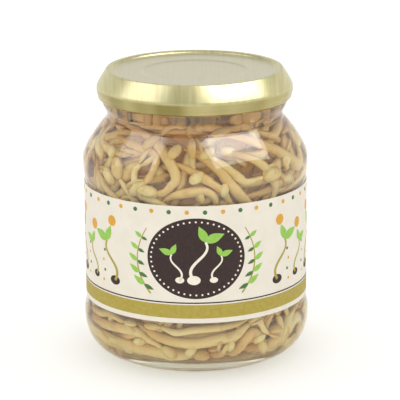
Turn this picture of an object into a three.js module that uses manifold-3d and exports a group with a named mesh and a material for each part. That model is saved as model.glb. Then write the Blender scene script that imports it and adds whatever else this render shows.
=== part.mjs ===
// A glass jar packed with bean sprouts in brine, with a paper label and a twist-off lid.
// Millimetres, +Z up. The origin is the middle of the ring that the jar stands on.

import * as THREE from 'three';
import { ParametricGeometry } from 'three/addons/geometries/ParametricGeometry.js';
import { mergeVertices } from 'three/addons/utils/BufferGeometryUtils.js';
import Module from 'manifold-3d';

const wasm = await Module();
wasm.setup();

// Facets round the axis, and steps along each curved stretch of an outline
const turnFacets = 40;
const liquidFacets = 24;
const curveSteps = 5;
const degree = Math.PI / 180;
const sharpestMiter = 0.5;

// Glass: base and body
const standingRing = { inner: 24.6, outer: 27.6 };
const punt = { height: 2.2, halfwayHeight: 1.8, edgeRadius: 23.8, edgeHeight: 0.7 };
const heel = { centreRadius: 21.06, height: 16.8, radius: 39.88, power: 2.72, startDegrees: -74 };
const panel = { radius: 38.95, bottom: 20.3, top: 64.2, topBlendEnd: 67.5 };
const shoulder = {
  radius: 39.46, start: 71.94, centreRadius: 26.66, height: 16.96, power: 1.24, endDegrees: 60.2,
};
const innerRadius = 36.5;
const floorRise = { height: 6.0, halfwayHeight: 5.5 };
const innerHeel = { centreRadius: 20.5, floor: 4.4, height: 12.4, power: 2.5 };
const innerShoulder = { start: 70.4, centreRadius: 24.6, height: 17.7, power: 1.24, endDegrees: 62.6 };

// Glass: neck and threaded mouth
const groove = { radius: 30.8, top: 87.6 };
const bead = { radius: 32.2, slope: [31.5, 88.9], bottom: 90.2, top: 91.4, edge: [31.9, 91.8] };
const finish = {
  radius: 31.2, bottom: 92.1, rimStart: 99.6, rimTop: 100.7, boreRadius: 28.0, boreTop: 99.2,
};
const rim = { flatInner: 29.2, flatOuter: 29.9, outerRound: [30.8, 100.45], innerRound: [28.3, 100.3] };

// Twist-off thread: four ramps on the glass, four lugs on the lid
const startCount = 4;
const lugTurn = 20 * degree;
const lugHalfWidth = 7 * degree;
const lug = { innerRadius: 31.55, outerRadius: 33.4, bottom: 92.35, top: 93.95 };
const risePerRadian = 2.0;
const rampClearance = 0.3;
const ramp = {
  length: 68 * degree, lead: 2 * degree, centreRadius: 31.0, reach: 1.6, halfHeight: 0.62,
  endTaper: 0.1, sides: 8, stacks: 10,
};

// Lid: tinplate pressing
const plate = 0.4;
const button = { radius: 17.6, stepEnd: 18.5, top: 100.9 };
const lidPanel = { radius: 27.5, top: 101.25 };
const lidRiser = { foot: [28.2, 101.5], brow: [28.6, 102.0] };
const lidRim = { inner: 29.0, outer: 30.7, top: 102.3 };
const lidBevel = { foot: 96.6, bulge: 0.12 };
const skirt = { radius: 34.2, bottom: 94.4 };
const curl = { outerRadius: 33.82, innerRadius: 32.95, bottom: 92.25, top: 93.5, round: 0.4 };
const riserUnderside = { top: 29.35, brow: [28.75, 101.5], foot: [28.3, 101.05] };

// Sealing compound: a ring, widest where it meets the glass
const seal = { bottom: 100.8, waist: 101.3, top: 101.8 };
const sealInner = { bottom: 28.9, waist: 29.05, top: 29.55 };
const sealOuter = { bottom: 30.85, waist: 30.5, top: 30.0 };

// Label and brine
const label = { innerRadius: 39.02, outerRadius: 39.2, bottom: 21.5, top: 62.8 };
const touchGap = 0.2;
const brineSkin = 1.0;
const brineLevel = 91.5;

// Sprouts: true size, laid side by side over a packed core that they are half sunk in
const packTop = 90.6;
const packGap = 0.7;
const coreDepth = 1.6;
const layDepth = 1.75;
const candidateCount = 9000;
const drawsPerSprout = 8;
const seed = 20211;
const sproutSides = 5;
const stemSteps = 3;
const hookSteps = 3;
const hookStep = 3.4;
const stemLength = { shortest: 26, longest: 44, lastShare: 0.55 };
const driftOfHeading = { most: 52 * degree, waves: 3, phase: 1.3, heightScale: 11 };
const headingSpread = 20 * degree;
const bendSpread = 38 * degree;
const hookTurn = { least: 10 * degree, most: 125 * degree };
const sproutRadii = [0, 1.5, 1.75, 1.7, 1.35, 2.3, 0];
const sideGap = 2.6;
const testSpacing = 2.5;

// Colours and finishes
const finishes = {
  glass: { color: 0xdfe9e2, roughness: 0.05, metalness: 0, transparent: true, opacity: 0.35 },
  paper: { color: 0xece6da, roughness: 0.6, metalness: 0 },
  tinplate: { color: 0xcbbf9c, roughness: 0.3, metalness: 1 },
  seal: { color: 0xd9d2bd, roughness: 0.7, metalness: 0 },
  brine: { color: 0xe3cf9f, roughness: 0.05, metalness: 0, transparent: true, opacity: 0.4 },
  sprout: { color: 0xdccfa4, roughness: 0.5, metalness: 0 },
};

// Points of a superellipse arc about (centreRadius, centreHeight), between two angles
function superArc(centreRadius, centreHeight, across, up, power, fromAngle, toAngle, steps = curveSteps) {
  const bend = (value) => Math.sign(value) * Math.abs(value) ** (2 / power);
  return Array.from({ length: steps + 1 }, (_, i) => {
    const angle = fromAngle + ((toAngle - fromAngle) * i) / steps;
    return new THREE.Vector2(
      centreRadius + across * bend(Math.cos(angle)),
      centreHeight + up * bend(Math.sin(angle)),
    );
  });
}

const at = (radius, height) => new THREE.Vector2(radius, height);

// Moves an outline sideways, to the left of its direction of travel, by the same distance everywhere
function offsetOutline(points, distance) {
  return points.map((point, i) => {
    const before = points[Math.max(i - 1, 0)];
    const after = points[Math.min(i + 1, points.length - 1)];
    const alongIn = point.clone().sub(before).normalize();
    const alongOut = after.clone().sub(point).normalize();
    const along = alongIn.clone().add(alongOut).normalize();
    const miter = Math.max(along.dot(i === 0 ? alongOut : alongIn), sharpestMiter);
    return at(point.x - (along.y * distance) / miter, point.y + (along.x * distance) / miter);
  });
}

// Keeps only positions, joins equal corners, drops collapsed triangles and turns the faces outwards
function weld(geometry) {
  geometry.deleteAttribute('normal');
  geometry.deleteAttribute('uv');
  const merged = mergeVertices(geometry, 1e-4);
  const corners = merged.index.array;
  const place = merged.attributes.position;
  const kept = [];
  let sixVolumes = 0;
  const [a, b, c] = [new THREE.Vector3(), new THREE.Vector3(), new THREE.Vector3()];
  for (let i = 0; i < corners.length; i += 3) {
    const [p, q, r] = corners.subarray(i, i + 3);
    if (p === q || q === r || r === p) continue;
    kept.push([p, q, r]);
    a.fromBufferAttribute(place, p);
    b.fromBufferAttribute(place, q);
    c.fromBufferAttribute(place, r);
    sixVolumes += a.dot(b.cross(c));
  }
  const outward = sixVolumes > 0 ? kept : kept.map((triangle) => triangle.reverse());
  merged.setIndex(outward.flat());
  return merged;
}

function toSolid(geometry) {
  const closed = weld(geometry);
  return new wasm.Manifold(new wasm.Mesh({
    numProp: 3,
    vertProperties: new Float32Array(closed.attributes.position.array),
    triVerts: new Uint32Array(closed.index.array),
  }));
}

function toGeometry(solid) {
  const mesh = solid.getMesh();
  const geometry = new THREE.BufferGeometry();
  geometry.setAttribute('position', new THREE.BufferAttribute(mesh.vertProperties, 3));
  geometry.setIndex(new THREE.BufferAttribute(mesh.triVerts, 1));
  return geometry;
}

// Turns an outline of (radius, height) points about +Z
function turned(outline, facets = turnFacets) {
  return new THREE.LatheGeometry(outline, facets).rotateX(Math.PI / 2);
}

// The inside of the glass, from the middle of the floor up to the given height in the bore
function innerOutline(topHeight) {
  const heelArc = superArc(
    innerHeel.centreRadius, innerHeel.floor + innerHeel.height,
    innerRadius - innerHeel.centreRadius, innerHeel.height, innerHeel.power, -Math.PI / 2, 0,
  );
  const shoulderArc = superArc(
    innerShoulder.centreRadius, innerShoulder.start,
    innerRadius - innerShoulder.centreRadius, innerShoulder.height, innerShoulder.power,
    0, innerShoulder.endDegrees * degree,
  );
  const floor = [at(0, floorRise.height), at(innerHeel.centreRadius / 2, floorRise.halfwayHeight)];
  return [...floor, ...heelArc, ...shoulderArc, at(finish.boreRadius, topHeight)];
}

function glassOutline() {
  const base = [
    at(0, punt.height), at(standingRing.inner / 2, punt.halfwayHeight),
    at(punt.edgeRadius, punt.edgeHeight), at(standingRing.inner, 0), at(standingRing.outer, 0),
  ];
  const heelArc = superArc(
    heel.centreRadius, heel.height, heel.radius - heel.centreRadius, heel.height, heel.power,
    heel.startDegrees * degree, 0,
  );
  const panelWall = [
    at(panel.radius, panel.bottom), at(panel.radius, panel.top), at(shoulder.radius, panel.topBlendEnd),
  ];
  const shoulderArc = superArc(
    shoulder.centreRadius, shoulder.start, shoulder.radius - shoulder.centreRadius, shoulder.height,
    shoulder.power, 0, shoulder.endDegrees * degree,
  );
  const neck = [
    at(groove.radius, groove.top), at(...bead.slope), at(bead.radius, bead.bottom),
    at(bead.radius, bead.top), at(...bead.edge), at(finish.radius, finish.bottom),
    at(finish.radius, finish.rimStart), at(...rim.outerRound),
    at(rim.flatOuter, finish.rimTop), at(rim.flatInner, finish.rimTop), at(...rim.innerRound),
  ];
  const inside = innerOutline(finish.boreTop).reverse();
  return [...base, ...heelArc, ...panelWall, ...shoulderArc, ...neck, ...inside];
}

// One thread ramp: an oval bead, half sunk in the glass, that climbs as it runs anticlockwise
function rampGeometry(turn) {
  const start = turn - lugHalfWidth - ramp.lead;
  const startHeight = lug.top + rampClearance + ramp.halfHeight - risePerRadian * ramp.lead;
  return new ParametricGeometry((u, v, target) => {
    const swell = Math.sqrt(Math.min(1, v / ramp.endTaper, (1 - v) / ramp.endTaper));
    const around = u * 2 * Math.PI;
    const angle = start + v * ramp.length;
    const radius = ramp.centreRadius + ramp.reach * swell * Math.cos(around);
    const climbed = startHeight + risePerRadian * v * ramp.length;
    const height = climbed + ramp.halfHeight * swell * Math.sin(around);
    target.set(radius * Math.cos(angle), radius * Math.sin(angle), height);
  }, ramp.sides, ramp.stacks);
}

function glassGeometry() {
  let glass = toSolid(turned(glassOutline()));
  for (let i = 0; i < startCount; i += 1) {
    glass = glass.add(toSolid(rampGeometry(lugTurn + (i * 2 * Math.PI) / startCount)));
  }
  return toGeometry(glass);
}

// The bevel of the lid, from its crease to its corner: nearly straight, with a slight bulge
function bevel(crease, corner) {
  const along = corner.clone().sub(crease);
  const outward = at(-along.y, along.x).normalize();
  return Array.from({ length: curveSteps + 1 }, (_, i) => {
    const share = i / curveSteps;
    const bulge = lidBevel.bulge * 4 * share * (1 - share);
    return crease.clone().addScaledVector(along, share).addScaledVector(outward, bulge);
  });
}

function lidOutline() {
  const outerBevel = bevel(at(lidRim.outer, lidRim.top), at(skirt.radius, lidBevel.foot));
  const top = [
    at(0, button.top), at(button.radius, button.top), at(button.stepEnd, lidPanel.top),
    at(lidPanel.radius, lidPanel.top), at(...lidRiser.foot), at(...lidRiser.brow),
    at(lidRim.inner, lidRim.top),
  ];
  const curlMiddle = (curl.outerRadius + curl.innerRadius) / 2;
  const rolledEdge = [
    at(skirt.radius, skirt.bottom), at(curl.outerRadius, curl.top),
    at(curl.outerRadius, curl.bottom + curl.round), at(curlMiddle, curl.bottom),
    at(curl.innerRadius, curl.bottom + curl.round), at(curl.innerRadius, curl.top - curl.round),
    at(curlMiddle, curl.top), at(skirt.radius - plate, skirt.bottom),
  ];
  const bevelInPlace = [at(lidRim.inner, lidRim.top), ...outerBevel, at(skirt.radius, skirt.bottom)];
  const innerBevel = offsetOutline(bevelInPlace, -plate).slice(1, -1).reverse();
  const underside = [
    at(riserUnderside.top, lidRim.top - plate), at(...riserUnderside.brow), at(...riserUnderside.foot),
    at(lidPanel.radius, lidPanel.top - plate), at(button.stepEnd, lidPanel.top - plate),
    at(button.radius, button.top - plate), at(0, button.top - plate),
  ];
  return [...top, ...outerBevel, ...rolledEdge, ...innerBevel, ...underside];
}

// One lug: a piece of a ring, as wide as the angle it spans
function lugGeometry(turn) {
  const plan = new THREE.Shape();
  plan.absarc(0, 0, lug.outerRadius, turn - lugHalfWidth, turn + lugHalfWidth, false);
  plan.absarc(0, 0, lug.innerRadius, turn + lugHalfWidth, turn - lugHalfWidth, true);
  const geometry = new THREE.ExtrudeGeometry(plan, {
    depth: lug.top - lug.bottom, bevelEnabled: false, curveSegments: 4,
  });
  return geometry.translate(0, 0, lug.bottom);
}

function lidGeometry() {
  let lid = toSolid(turned(lidOutline()));
  for (let i = 0; i < startCount; i += 1) {
    lid = lid.add(toSolid(lugGeometry(lugTurn + (i * 2 * Math.PI) / startCount)));
  }
  return toGeometry(lid);
}

function sealGeometry() {
  const outline = [
    at(sealInner.bottom, seal.bottom), at(sealOuter.bottom, seal.bottom), at(sealOuter.waist, seal.waist),
    at(sealOuter.top, seal.top), at(sealInner.top, seal.top), at(sealInner.waist, seal.waist),
    at(sealInner.bottom, seal.bottom),
  ];
  return weld(turned(outline));
}

function labelGeometry() {
  const outline = [
    at(label.innerRadius, label.bottom), at(label.outerRadius, label.bottom),
    at(label.outerRadius, label.top), at(label.innerRadius, label.top), at(label.innerRadius, label.bottom),
  ];
  return weld(turned(outline));
}

// The brine that lies between the glass and the packed sprouts: a cup, open at its own level
function brineGeometry() {
  const wall = innerOutline(brineLevel);
  const outside = offsetOutline(wall, touchGap);
  const inside = offsetOutline(wall, touchGap + brineSkin);
  for (const outline of [outside, inside]) {
    outline[0].x = 0;
    outline[outline.length - 1].y = brineLevel;
  }
  return weld(turned([...outside, ...inside.reverse()], liquidFacets));
}

// The closed outline that the packed sprouts fill, from the middle of the floor to the middle of the top
function packOutline() {
  const wall = offsetOutline(innerOutline(packTop), touchGap + brineSkin + packGap);
  wall[0].x = 0;
  wall[wall.length - 1].y = packTop;
  return [...wall, at(0, packTop)];
}

// Random numbers from 0 to 1 that come out the same each time (multiplier 16807, modulus 2^31 - 1)
function drawsFrom(start) {
  let state = start;
  return () => {
    state = (state * 16807) % 2147483647;
    return state / 2147483647;
  };
}

// Nearest point to (radius, height) on an outline, with the direction of the outline there
function nearestOn(outline, radius, height) {
  let best = null;
  for (let i = 0; i + 1 < outline.length; i += 1) {
    const along = outline[i + 1].clone().sub(outline[i]);
    const lengthSquared = along.lengthSq();
    const share = ((radius - outline[i].x) * along.x + (height - outline[i].y) * along.y) / lengthSquared;
    const held = Math.min(Math.max(share, 0), 1);
    const point = outline[i].clone().addScaledVector(along, held);
    const distance = Math.hypot(point.x - radius, point.y - height);
    if (!best || distance < best.distance) best = { point, along: along.normalize(), distance };
  }
  return best;
}

// Puts a point on the surface that the outline sweeps, and gives the surface's inward normal there
function settle(place, outline) {
  const radius = Math.hypot(place.x, place.y);
  const nearest = nearestOn(outline, radius, place.z);
  const outX = place.x / Math.max(radius, 1e-9);
  const outY = place.y / Math.max(radius, 1e-9);
  return {
    place: new THREE.Vector3(outX * nearest.point.x, outY * nearest.point.x, nearest.point.y),
    normal: new THREE.Vector3(-nearest.along.y * outX, -nearest.along.y * outY, nearest.along.x),
  };
}

// Area swept by each stretch of an outline, added up, so that sprouts start evenly over the surface
function sweptAreas(outline) {
  let total = 0;
  return outline.slice(1).map((end, i) => {
    total += ((end.x + outline[i].x) / 2) * end.distanceTo(outline[i]);
    return total;
  });
}

// One sprout walks over the surface from its root: a gently bent stem, then a hook that ends in the head.
// Its heading drifts from place to place, so that neighbours lie in bundles.
function walkSprout(outline, areas, draw, lengthShare) {
  const draws = Array.from({ length: drawsPerSprout }, draw);
  const target = draws[0] * areas[areas.length - 1];
  const stretch = areas.findIndex((area) => area >= target);
  const before = stretch > 0 ? areas[stretch - 1] : 0;
  const share = (target - before) / (areas[stretch] - before);
  const start = outline[stretch].clone().lerp(outline[stretch + 1], share);
  const turn = draws[1] * 2 * Math.PI;
  let { place, normal } = settle(
    new THREE.Vector3(start.x * Math.cos(turn), start.x * Math.sin(turn), start.y), outline,
  );
  const round = new THREE.Vector3(-Math.sin(turn), Math.cos(turn), 0);
  const drift = driftOfHeading.most * Math.sin(driftOfHeading.waves * turn + driftOfHeading.phase)
    * Math.cos(start.y / driftOfHeading.heightScale + turn);
  const tilt = drift + (draws[2] + draws[3] - 1) * headingSpread;
  const heading = round.multiplyScalar(draws[4] < 0.5 ? -1 : 1).applyAxisAngle(normal, tilt);
  const length = THREE.MathUtils.lerp(stemLength.shortest, stemLength.longest, draws[5]) * lengthShare;
  const bend = (draws[6] - 0.5) * 2 * bendSpread;
  const hook = Math.sign(draws[6] - 0.5) * THREE.MathUtils.lerp(hookTurn.least, hookTurn.most, draws[7]);
  const rings = [{ place, normal }];
  for (let i = 0; i < stemSteps + hookSteps; i += 1) {
    const inStem = i < stemSteps;
    heading.applyAxisAngle(normal, inStem ? bend / stemSteps : hook / hookSteps);
    const ahead = place.clone().addScaledVector(heading, inStem ? length / stemSteps : hookStep);
    const settled = settle(ahead, outline);
    heading.subVectors(settled.place, place).normalize();
    ({ place, normal } = settled);
    rings.push({ place, normal });
  }
  return rings;
}

// Places along a sprout, close enough together to tell whether it crosses another
function placesAlong(rings) {
  return rings.slice(1).flatMap(({ place }, i) => {
    const count = Math.ceil(place.distanceTo(rings[i].place) / testSpacing);
    return Array.from({ length: count }, (_, j) => rings[i].place.clone().lerp(place, (j + 1) / count));
  });
}

// Sprouts that keep clear of those laid before them. The later ones are shorter, to fit the gaps.
function laySprouts(outline) {
  const areas = sweptAreas(outline);
  const draw = drawsFrom(seed);
  const laid = [];
  const taken = [];
  for (let i = 0; i < candidateCount; i += 1) {
    const lengthShare = THREE.MathUtils.lerp(1, stemLength.lastShare, i / candidateCount);
    const rings = walkSprout(outline, areas, draw, lengthShare);
    const places = placesAlong(rings);
    if (taken.every((theirs) => places.every((ours) => ours.distanceTo(theirs) > sideGap))) {
      laid.push(rings);
      taken.push(...places);
    }
  }
  return laid;
}

// One sprout: a tube through its rings, closed at its root and its head, which the radii swell
function sproutGeometry(rings) {
  const stacks = rings.length - 1;
  const tangents = rings.map((_, i) => new THREE.Vector3().subVectors(
    rings[Math.min(i + 1, stacks)].place, rings[Math.max(i - 1, 0)].place,
  ).normalize());
  return new ParametricGeometry((u, v, target) => {
    const i = Math.round(v * stacks);
    const across = new THREE.Vector3().crossVectors(tangents[i], rings[i].normal).normalize();
    const around = u * 2 * Math.PI;
    target.copy(rings[i].place)
      .addScaledVector(rings[i].normal, sproutRadii[i] * Math.cos(around))
      .addScaledVector(across, sproutRadii[i] * Math.sin(around));
  }, sproutSides, stacks);
}

// The bunch: core and sprouts joined, without the pockets and scraps that joining leaves
function sproutsGeometry() {
  const pack = packOutline();
  const core = offsetOutline(pack, coreDepth);
  core[0].x = 0;
  core[core.length - 1].x = 0;
  const lay = offsetOutline(pack, layDepth);
  lay[0].x = 0;
  lay[lay.length - 1].x = 0;
  const sprouts = laySprouts(lay).map((rings) => toSolid(sproutGeometry(rings)));
  const bunch = sprouts.reduce((joined, sprout) => joined.add(sprout), toSolid(turned(core, liquidFacets)));
  const [whole] = bunch.decompose().sort((one, other) => other.volume() - one.volume());
  return toGeometry(whole);
}

const jar = new THREE.Group();

function addPiece(name, geometry, finishName) {
  const piece = new THREE.Mesh(geometry, new THREE.MeshStandardMaterial(finishes[finishName]));
  piece.name = name;
  jar.add(piece);
}

addPiece('jar_glass', glassGeometry(), 'glass');
addPiece('label', labelGeometry(), 'paper');
addPiece('lid', lidGeometry(), 'tinplate');
addPiece('lid_seal', sealGeometry(), 'seal');
addPiece('brine', brineGeometry(), 'brine');
addPiece('sprouts', sproutsGeometry(), 'sprout');

export default jar;
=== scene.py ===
import math

import bpy
import numpy as np
from mathutils import Matrix, Vector


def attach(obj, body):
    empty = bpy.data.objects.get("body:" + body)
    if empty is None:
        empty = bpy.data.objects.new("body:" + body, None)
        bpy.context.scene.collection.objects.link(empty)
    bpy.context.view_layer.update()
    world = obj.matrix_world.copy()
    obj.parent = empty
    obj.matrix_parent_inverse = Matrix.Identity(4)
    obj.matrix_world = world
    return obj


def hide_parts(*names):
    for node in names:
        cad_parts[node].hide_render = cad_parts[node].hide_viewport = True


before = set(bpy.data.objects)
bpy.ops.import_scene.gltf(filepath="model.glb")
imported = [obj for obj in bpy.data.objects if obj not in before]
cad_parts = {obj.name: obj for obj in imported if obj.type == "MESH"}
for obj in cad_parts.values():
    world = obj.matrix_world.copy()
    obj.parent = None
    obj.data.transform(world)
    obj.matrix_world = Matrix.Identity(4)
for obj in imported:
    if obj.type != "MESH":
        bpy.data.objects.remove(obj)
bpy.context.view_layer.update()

# A glass jar packed with bean sprouts in brine: paper label, gold lacquered twist-off lid.
# Every shape is worked out in millimetres from the floor's middle, +Z up, and -Y faces the viewer.

metresPerMm = 0.001
scene = bpy.context.scene


# Mesh and outline helpers

def unit(vectors):
    # v / |v|, and nothing for a vector of no length
    return vectors / np.maximum(np.linalg.norm(vectors, axis=-1, keepdims=True), 1e-12)


def superArc(centre, across, up, power, fromDegrees, toDegrees, steps):
    # r = centreR + across * |cos a|^(2/power), z = centreZ + up * |sin a|^(2/power), with the signs kept
    angle = np.radians(np.linspace(fromDegrees, toDegrees, steps + 1))
    cosine, sine = np.cos(angle), np.sin(angle)
    return np.column_stack([centre[0] + across * (np.sign(cosine) * np.abs(cosine) ** (2 / power)),
                            centre[1] + up * (np.sign(sine) * np.abs(sine) ** (2 / power))])


def joinStretches(stretches, steps=4):
    # Each stretch is (points, cut). A corner P with a cut becomes the parabola
    # (1-t)^2 A + 2t(1-t) P + t^2 B, where A and B lie the cut before and after P, at most 0.45 of a side.
    points = np.vstack([np.atleast_2d(points) for points, cut in stretches]).astype(float)
    cuts = np.concatenate([np.full(len(np.atleast_2d(points)), cut) for points, cut in stretches])
    corner = points[1:-1]
    toBefore = points[:-2] - corner
    toAfter = points[2:] - corner
    reachBefore = np.linalg.norm(toBefore, axis=1)
    reachAfter = np.linalg.norm(toAfter, axis=1)
    start = corner + toBefore * (np.minimum(cuts[1:-1], 0.45 * reachBefore) / reachBefore)[:, None]
    end = corner + toAfter * (np.minimum(cuts[1:-1], 0.45 * reachAfter) / reachAfter)[:, None]
    t = np.linspace(0, 1, steps)[None, :, None]
    curve = (1 - t) ** 2 * start[:, None] + 2 * t * (1 - t) * corner[:, None] + t ** 2 * end[:, None]
    outline = np.vstack([points[:1], curve.reshape(-1, 2), points[-1:]])
    moved = np.linalg.norm(np.diff(outline, axis=0), axis=1) > 1e-4
    return outline[np.concatenate([[True], moved])]


def refine(outline, longest):
    # Adds even steps along each side, so that none is longer than the given length
    sides = np.diff(outline, axis=0)
    counts = np.maximum(np.ceil(np.linalg.norm(sides, axis=1) / longest), 1).astype(int)
    which = np.repeat(np.arange(len(sides)), counts)
    step = np.concatenate([np.arange(count) / count for count in counts])
    return np.vstack([outline[which] + sides[which] * step[:, None], outline[-1:]])


def offsetOutline(points, distance):
    # Moves an outline sideways, to the left of its travel, with mitred corners
    before = points[np.maximum(np.arange(len(points)) - 1, 0)]
    after = points[np.minimum(np.arange(len(points)) + 1, len(points) - 1)]
    alongIn, alongOut = unit(points - before), unit(after - points)
    along = unit(alongIn + alongOut)
    side = alongIn.copy()
    side[0] = alongOut[0]
    miter = np.maximum((along * side).sum(axis=1), 0.5)
    return points + np.column_stack([-along[:, 1], along[:, 0]]) * (distance / miter)[:, None]


def turnGrid(outline, facets):
    # Every outline point (r, z) at every angle a of a full turn
    angle = np.linspace(0, 2 * np.pi, facets, endpoint=False)
    return outline[:, :1] * np.ones(facets), outline[:, 1:] * np.ones(facets), angle


def ringsFrom(radius, height, angle):
    # (r cos a, r sin a, z), as the one shell of a piece
    return np.stack([radius * np.cos(angle), radius * np.sin(angle), height], axis=-1)[None]


def shellFaces(rows, sides, closedAlong):
    # Quads between neighbouring rings, and a fan of triangles at each pole of an open run of rings
    column = np.arange(sides)
    nextColumn = (column + 1) % sides
    firstCorner, runs = (0, rows) if closedAlong else (1, rows - 3)
    ring = firstCorner + np.arange(runs)[:, None] * sides
    nextRing = (ring + sides) % (rows * sides) if closedAlong else ring + sides
    quads = np.stack([ring + column, ring + nextColumn, nextRing + nextColumn, nextRing + column], axis=-1)
    if closedAlong:
        return quads.reshape(-1, 4), np.zeros((0, 3), int)
    lastRing = 1 + (rows - 3) * sides
    lastPole = lastRing + sides
    firstFan = np.stack([np.zeros(sides, int), 1 + nextColumn, 1 + column], axis=-1)
    lastFan = np.stack([np.full(sides, lastPole), lastRing + column, lastRing + nextColumn], axis=-1)
    return quads.reshape(-1, 4), np.vstack([firstFan, lastFan])


def buildPiece(name, corners, quads, triangles, material, attributes=None, sharpDegrees=None):
    # Faces are turned round if the volume, a sixth of the sum of a . (b x c), comes out negative
    split = np.vstack([quads[:, [0, 1, 2]], quads[:, [0, 2, 3]], triangles])
    a, b, c = corners[split[:, 0]], corners[split[:, 1]], corners[split[:, 2]]
    if np.einsum("ij,ij->i", a, np.cross(b, c)).sum() < 0:
        quads, triangles = quads[:, ::-1], triangles[:, ::-1]
    mesh = bpy.data.meshes.new(name)
    mesh.from_pydata((corners * metresPerMm).tolist(), [], quads.tolist() + triangles.tolist())
    for key, values in (attributes or {}).items():
        stored = mesh.attributes.new(key, "FLOAT", "POINT")
        stored.data.foreach_set("value", values.astype(np.float32).ravel())
    mesh.materials.append(material)
    mesh.shade_smooth()
    if sharpDegrees:
        mesh.set_sharp_from_angle(angle=math.radians(sharpDegrees))
    mesh.update()
    piece = bpy.data.objects.new(name, mesh)
    scene.collection.objects.link(piece)
    print(name, "has", len(mesh.polygons), "faces")
    return piece


def shellPiece(name, rings, material, closedAlong=False, attributes=None):
    # rings: (shells, rows, sides, 3). Without closedAlong, the first and last ring are drawn in to a pole.
    shells, rows, sides = rings.shape[:3]

    def gather(values):
        if closedAlong:
            return values.reshape(shells, rows * sides, -1)
        inner = values[:, 1:-1].reshape(shells, (rows - 2) * sides, -1)
        first = values[:, :1].mean(axis=2).reshape(shells, 1, -1)
        last = values[:, -1:].mean(axis=2).reshape(shells, 1, -1)
        return np.concatenate([first, inner, last], axis=1)

    corners = gather(rings)
    quads, triangles = shellFaces(rows, sides, closedAlong)
    shift = (np.arange(shells) * corners.shape[1])[:, None, None]
    perCorner = {key: gather(np.broadcast_to(values[..., None], rings.shape[:3] + (1,)))
                 for key, values in (attributes or {}).items()}
    return buildPiece(name, corners.reshape(-1, 3), (quads + shift).reshape(-1, 4),
                      (triangles + shift).reshape(-1, 3), material, perCorner)


def settlePiece(piece, body, replaced=()):
    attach(piece, body)
    if replaced:
        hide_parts(*replaced)
    return piece


# Material helpers

def linearColour(hexCode):
    # sRGB to linear: c / 12.92 up to 0.04045, else ((c + 0.055) / 1.055)^2.4
    channels = [int(hexCode[i:i + 2], 16) / 255 for i in (1, 3, 5)]
    return tuple(c / 12.92 if c <= 0.04045 else ((c + 0.055) / 1.055) ** 2.4 for c in channels) + (1.0,)


def newMaterial(name):
    material = bpy.data.materials.new(name)
    material.use_nodes = True
    material.node_tree.nodes.clear()
    return material, material.node_tree


def addNode(tree, kind, settings=None, links=None):
    # Settings that the node has as its own property are set there, the rest on its sockets
    node = tree.nodes.new(kind)
    for key, value in (settings or {}).items():
        if isinstance(key, str) and hasattr(node, key):
            setattr(node, key, value)
        else:
            node.inputs[key].default_value = value
    for key, source in (links or {}).items():
        tree.links.new(source, node.inputs[key])
    return node


def rampColours(node, stops):
    # Colour stops of a ramp: place from 0 to 1, sRGB hex
    elements = node.color_ramp.elements
    while len(elements) < len(stops):
        elements.new(0.5)
    for element, (place, hexCode) in zip(elements, stops):
        element.position = place
        element.color = linearColour(hexCode)


# Camera: the photograph's viewpoint. Pixel values are in its 400 x 400 frame.

cameraPlan = {
    "place": (0.0, -0.7397, 0.2565),  # metres
    "elevationDegrees": 14.477,
    "rollDegrees": 0.453,
    "focalPixels": 2167.6,
    "aimRightPixels": 4.38,
    "aimDownPixels": 30.63,
    "framePixels": 400,
    "sensorMm": 36.0,
}


def placeCamera():
    plan = cameraPlan
    tilt = math.radians(plan["elevationDegrees"])
    right = Vector((1, 0, 0))
    upward = Vector((0, math.sin(tilt), math.cos(tilt)))
    forward = Vector((0, math.cos(tilt), -math.sin(tilt)))
    aim = forward * plan["focalPixels"] + right * plan["aimRightPixels"] - upward * plan["aimDownPixels"]
    aim.normalize()
    top = (upward - aim * upward.dot(aim)).normalized()
    side = aim.cross(top)
    roll = math.radians(plan["rollDegrees"])
    rolledSide = side * math.cos(roll) - top * math.sin(roll)
    rolledTop = side * math.sin(roll) + top * math.cos(roll)
    lens = bpy.data.cameras.new("photoCamera")
    lens.sensor_width = plan["sensorMm"]
    lens.lens = plan["focalPixels"] / plan["framePixels"] * plan["sensorMm"]
    lens.clip_end = 50
    camera = bpy.data.objects.new("photoCamera", lens)
    camera.matrix_world = Matrix.Translation(plan["place"]) @ Matrix(
        (rolledSide, rolledTop, -aim)).transposed().to_4x4()
    scene.collection.objects.link(camera)
    scene.camera = camera


# Light: two large softboxes that show as windows in the glass and the lid, a low panel in front and a
# wide one overhead that light without being mirrored, an even bright room, and a light table for a floor

studioPlan = {
    "target": (0.0, 0.0, 0.075),
    "roomStrength": 1.0,
    "roomGreys": [(0.0, "#ffffff"), (0.28, "#fbfbfa"), (0.55, "#c4c4c2"), (1.0, "#dededd")],
    "floorHex": "#cdccca",
    "floorGlowHex": "#fffefb",
    "floorGlow": 0.42,
    "floorHalfMetres": 6.0,
    "overhead": {"strength": 1.25, "spreadDegrees": 80},
    # A box that shows as gloss is only mirrored, and one that shows as diffuse only lights
    "softboxes": [
        {"name": "softboxLeft", "azimuth": -76.4, "elevation": 41.5, "turn": 19.0, "size": (0.62, 0.44),
         "distance": 0.8, "watts": 1.7, "hex": "#f0f0ff", "shows": "gloss"},
        {"name": "softboxRight", "azimuth": 64.8, "elevation": 51.5, "turn": -17.0, "size": (0.86, 0.42),
         "distance": 0.8, "watts": 5.4, "hex": "#fbfbff", "shows": "gloss"},
        {"name": "keyLow", "azimuth": -12.0, "elevation": 9.0, "turn": 0.0, "size": (1.6, 0.5),
         "distance": 1.5, "watts": 1.9, "hex": "#fffdf8", "shows": "diffuse"},
    ],
}


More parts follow.
